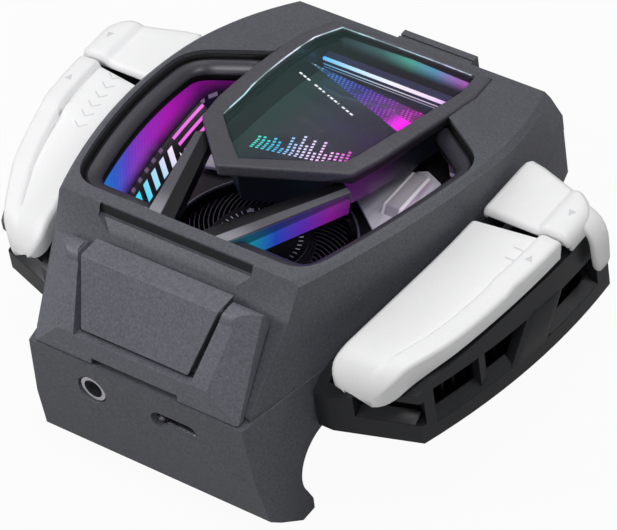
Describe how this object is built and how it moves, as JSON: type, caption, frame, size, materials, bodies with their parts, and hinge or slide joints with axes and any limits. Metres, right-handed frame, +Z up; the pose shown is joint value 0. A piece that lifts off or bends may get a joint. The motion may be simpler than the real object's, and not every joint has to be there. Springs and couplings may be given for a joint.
{
  "type": "phone cooling fan",
  "caption": "Clip-on phone cooler with a blower under a clear visor, finned side wings, press keys, fold-out stand and a sprung rear clamp.",
  "frame": {"origin": "centre of the object's footprint, on the plane that the two lips rest on", "axes": "+X along the phone's long side, +Y from the fixed front jaw to the sliding rear clamp, +Z up, away from the phone"},
  "size_m": [0.1038, 0.09, 0.0527],
  "materials": {
    "shell_grey": "matte, fine grain",
    "wing_black": "satin",
    "key_white": "matte",
    "lens_clear": "gloss, smoked clear",
    "light_plastic": "frosted, lit",
    "panel_black": "gloss",
    "fan_black": "satin",
    "steel": "polished",
    "aluminium": "brushed",
    "copper": "satin",
    "board_green": "solder mask",
    "ceramic_white": "matte",
    "rubber_black": "matte",
    "pad_grey": "matte"
  },
  "bodies": {
    "housing": {"front_jaw": "shell_grey", "jaw_pad": "rubber_black", "power_socket": "steel", "audio_socket": "steel", "phone_plug": "steel", "lower_shell": "shell_grey", "upper_shell": "shell_grey", "stand_cover": "shell_grey", "stand_pins": "steel", "visor_bezel": "shell_grey", "visor_lens": "lens_clear", "display_tray": "light_plastic", "display_panel": "panel_black", "light_bar": "light_plastic", "left_strut": "shell_grey", "right_strut": "shell_grey", "inner_deck": "fan_black", "left_light_guide": "light_plastic", "right_light_guide": "light_plastic", "main_board": "board_green", "fan_motor": "copper", "thermal_pad": "pad_grey", "cold_plate": "aluminium", "cooling_module": "ceramic_white", "heat_sink": "aluminium", "sink_clips": "steel", "heat_pipes": "copper", "left_fins": "aluminium", "right_fins": "aluminium", "left_wing": "wing_black", "right_wing": "wing_black", "left_switch_board": "board_green", "right_switch_board": "board_green", "left_switches": "fan_black", "right_switches": "fan_black", "left_key_rod": "steel", "right_key_rod": "steel", "clamp_guides": "fan_black", "case_screws": "steel"},
    "stand": {"kickstand": "shell_grey"},
    "fan": {"impeller": "fan_black", "hub_cap": "panel_black"},
    "clamp": {"rear_clamp": "shell_grey", "clamp_pad": "rubber_black", "clamp_rods": "steel", "clamp_springs": "steel"},
    "left_long": {"left_long_key": "key_white"},
    "left_short": {"left_short_key": "key_white"},
    "right_long": {"right_long_key": "key_white"},
    "right_short": {"right_short_key": "key_white"}
  },
  "joints": [
    {"name": "fan_spin", "type": "hinge", "parent": "housing", "child": "fan", "pos_m": [0, -0.01015, 0.0299], "axis": [0, 0, 1], "continuous": true},
    {"name": "stand_fold", "type": "hinge", "parent": "housing", "child": "stand", "pos_m": [0, -0.03525, 0.0418], "axis": [-1, 0, 0], "range_deg": [0, 70]},
    {"name": "clamp_slide", "type": "slide", "parent": "housing", "child": "clamp", "axis": [0, 1, 0], "range_m": [0, 0.008], "stiffness_N_per_m": 300, "springref_m": -0.01, "deforming": ["clamp_springs"]},
    {"name": "left_long_press", "type": "hinge", "parent": "housing", "child": "left_long", "pos_m": [-0.0366, -0.01295, 0.033], "axis": [0, -1, 0], "range_deg": [0, 2.2], "stiffness_Nm_per_rad": 0.5},
    {"name": "left_short_press", "type": "hinge", "parent": "housing", "child": "left_short", "pos_m": [-0.0366, 0.01405, 0.033], "axis": [0, -1, 0], "range_deg": [0, 2.2], "stiffness_Nm_per_rad": 0.5},
    {"name": "right_long_press", "type": "hinge", "parent": "housing", "child": "right_long", "pos_m": [0.0366, -0.01295, 0.033], "axis": [0, 1, 0], "range_deg": [0, 2.2], "stiffness_Nm_per_rad": 0.5},
    {"name": "right_short_press", "type": "hinge", "parent": "housing", "child": "right_short", "pos_m": [0.0366, 0.01405, 0.033], "axis": [0, 1, 0], "range_deg": [0, 2.2], "stiffness_Nm_per_rad": 0.5}
  ]
}
